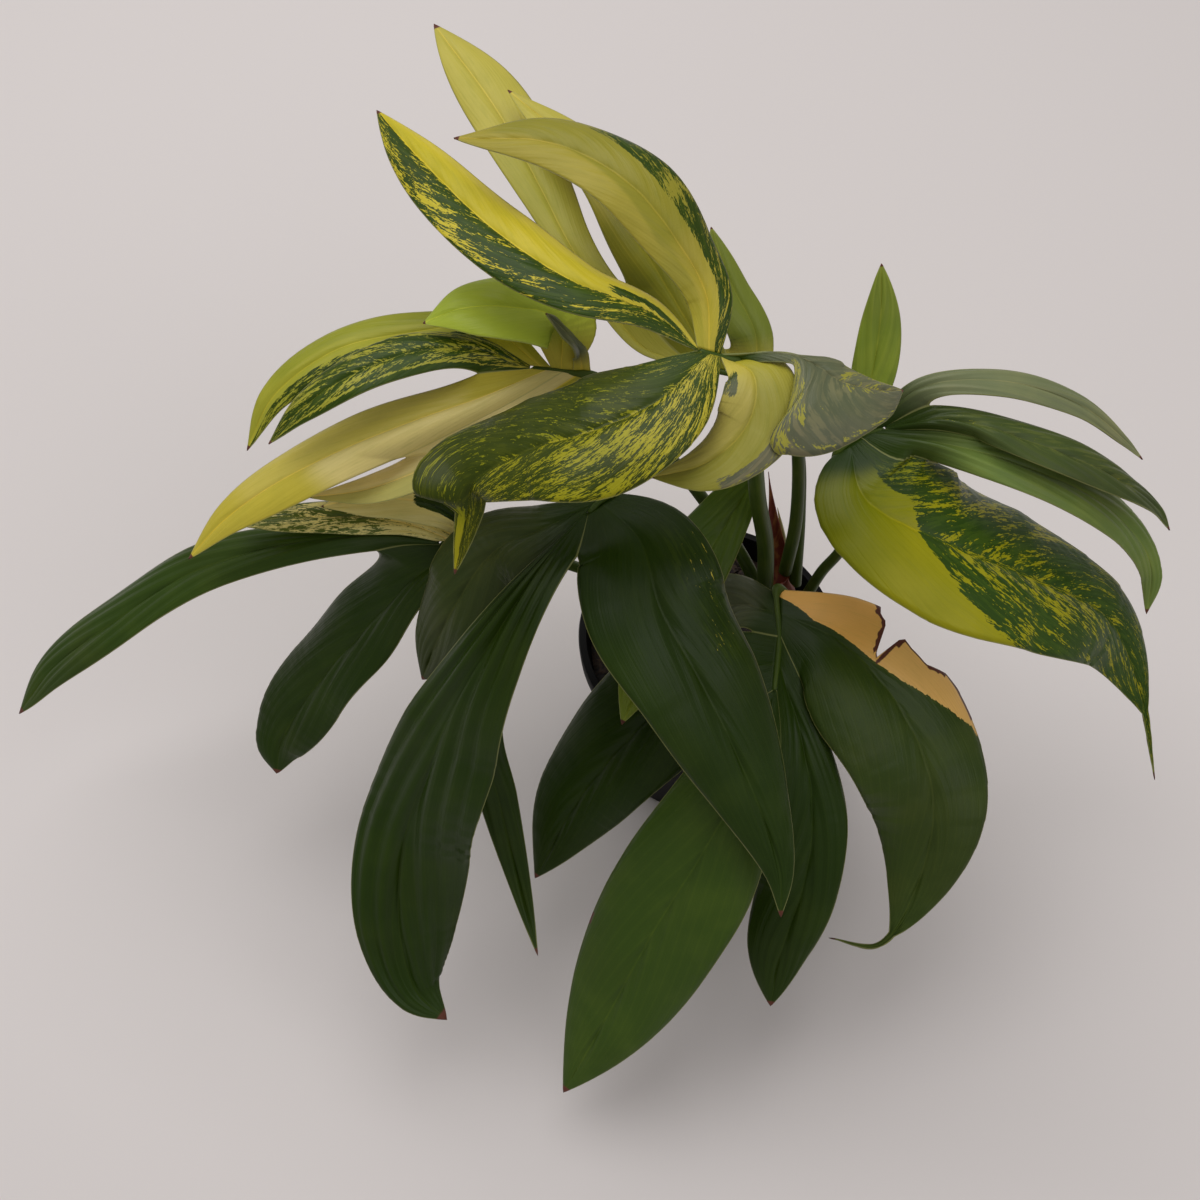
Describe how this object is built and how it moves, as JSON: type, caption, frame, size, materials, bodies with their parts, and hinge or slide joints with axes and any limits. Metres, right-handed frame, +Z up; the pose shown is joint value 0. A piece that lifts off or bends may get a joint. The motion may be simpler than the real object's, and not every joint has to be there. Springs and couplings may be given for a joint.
{
  "type": "potted variegated dragon tail plant",
  "caption": "Potted climbing aroid with deeply cut, yellow-and-green marbled leaves arching from a short vine in a round black nursery pot.",
  "frame": {"origin": "middle of the pot's underside, on the surface that the pot stands on", "axes": "+Z up; -Y towards the side that the plant leans to, which is the front; +X to the right seen from the front"},
  "size_m": [0.5004, 0.3842, 0.345],
  "materials": {
    "pot": "black, faintly satin",
    "soil": "loose bark and peat mix, matte",
    "vine": "green stem, matte",
    "leaf_variegated": "yellow with green streaks, leathery satin",
    "leaf_dark": "dark green, leathery satin",
    "leaf_green": "mid green, leathery satin",
    "sheath": "dry, papery red-brown",
    "rolled_leaf": "pale cream-green, satin"
  },
  "bodies": {
    "root": {"pot": "pot", "soil": "soil", "vine": "vine", "leaf_top": "leaf_variegated", "leaf_back": "leaf_variegated", "leaf_west": "leaf_variegated", "leaf_southwest": "leaf_dark", "leaf_centre": "leaf_dark", "leaf_south": "leaf_green", "leaf_east": "leaf_green", "leaf_inner": "leaf_green", "red_sheath": "sheath", "rolled_leaf": "rolled_leaf"}
  },
  "joints": []
}
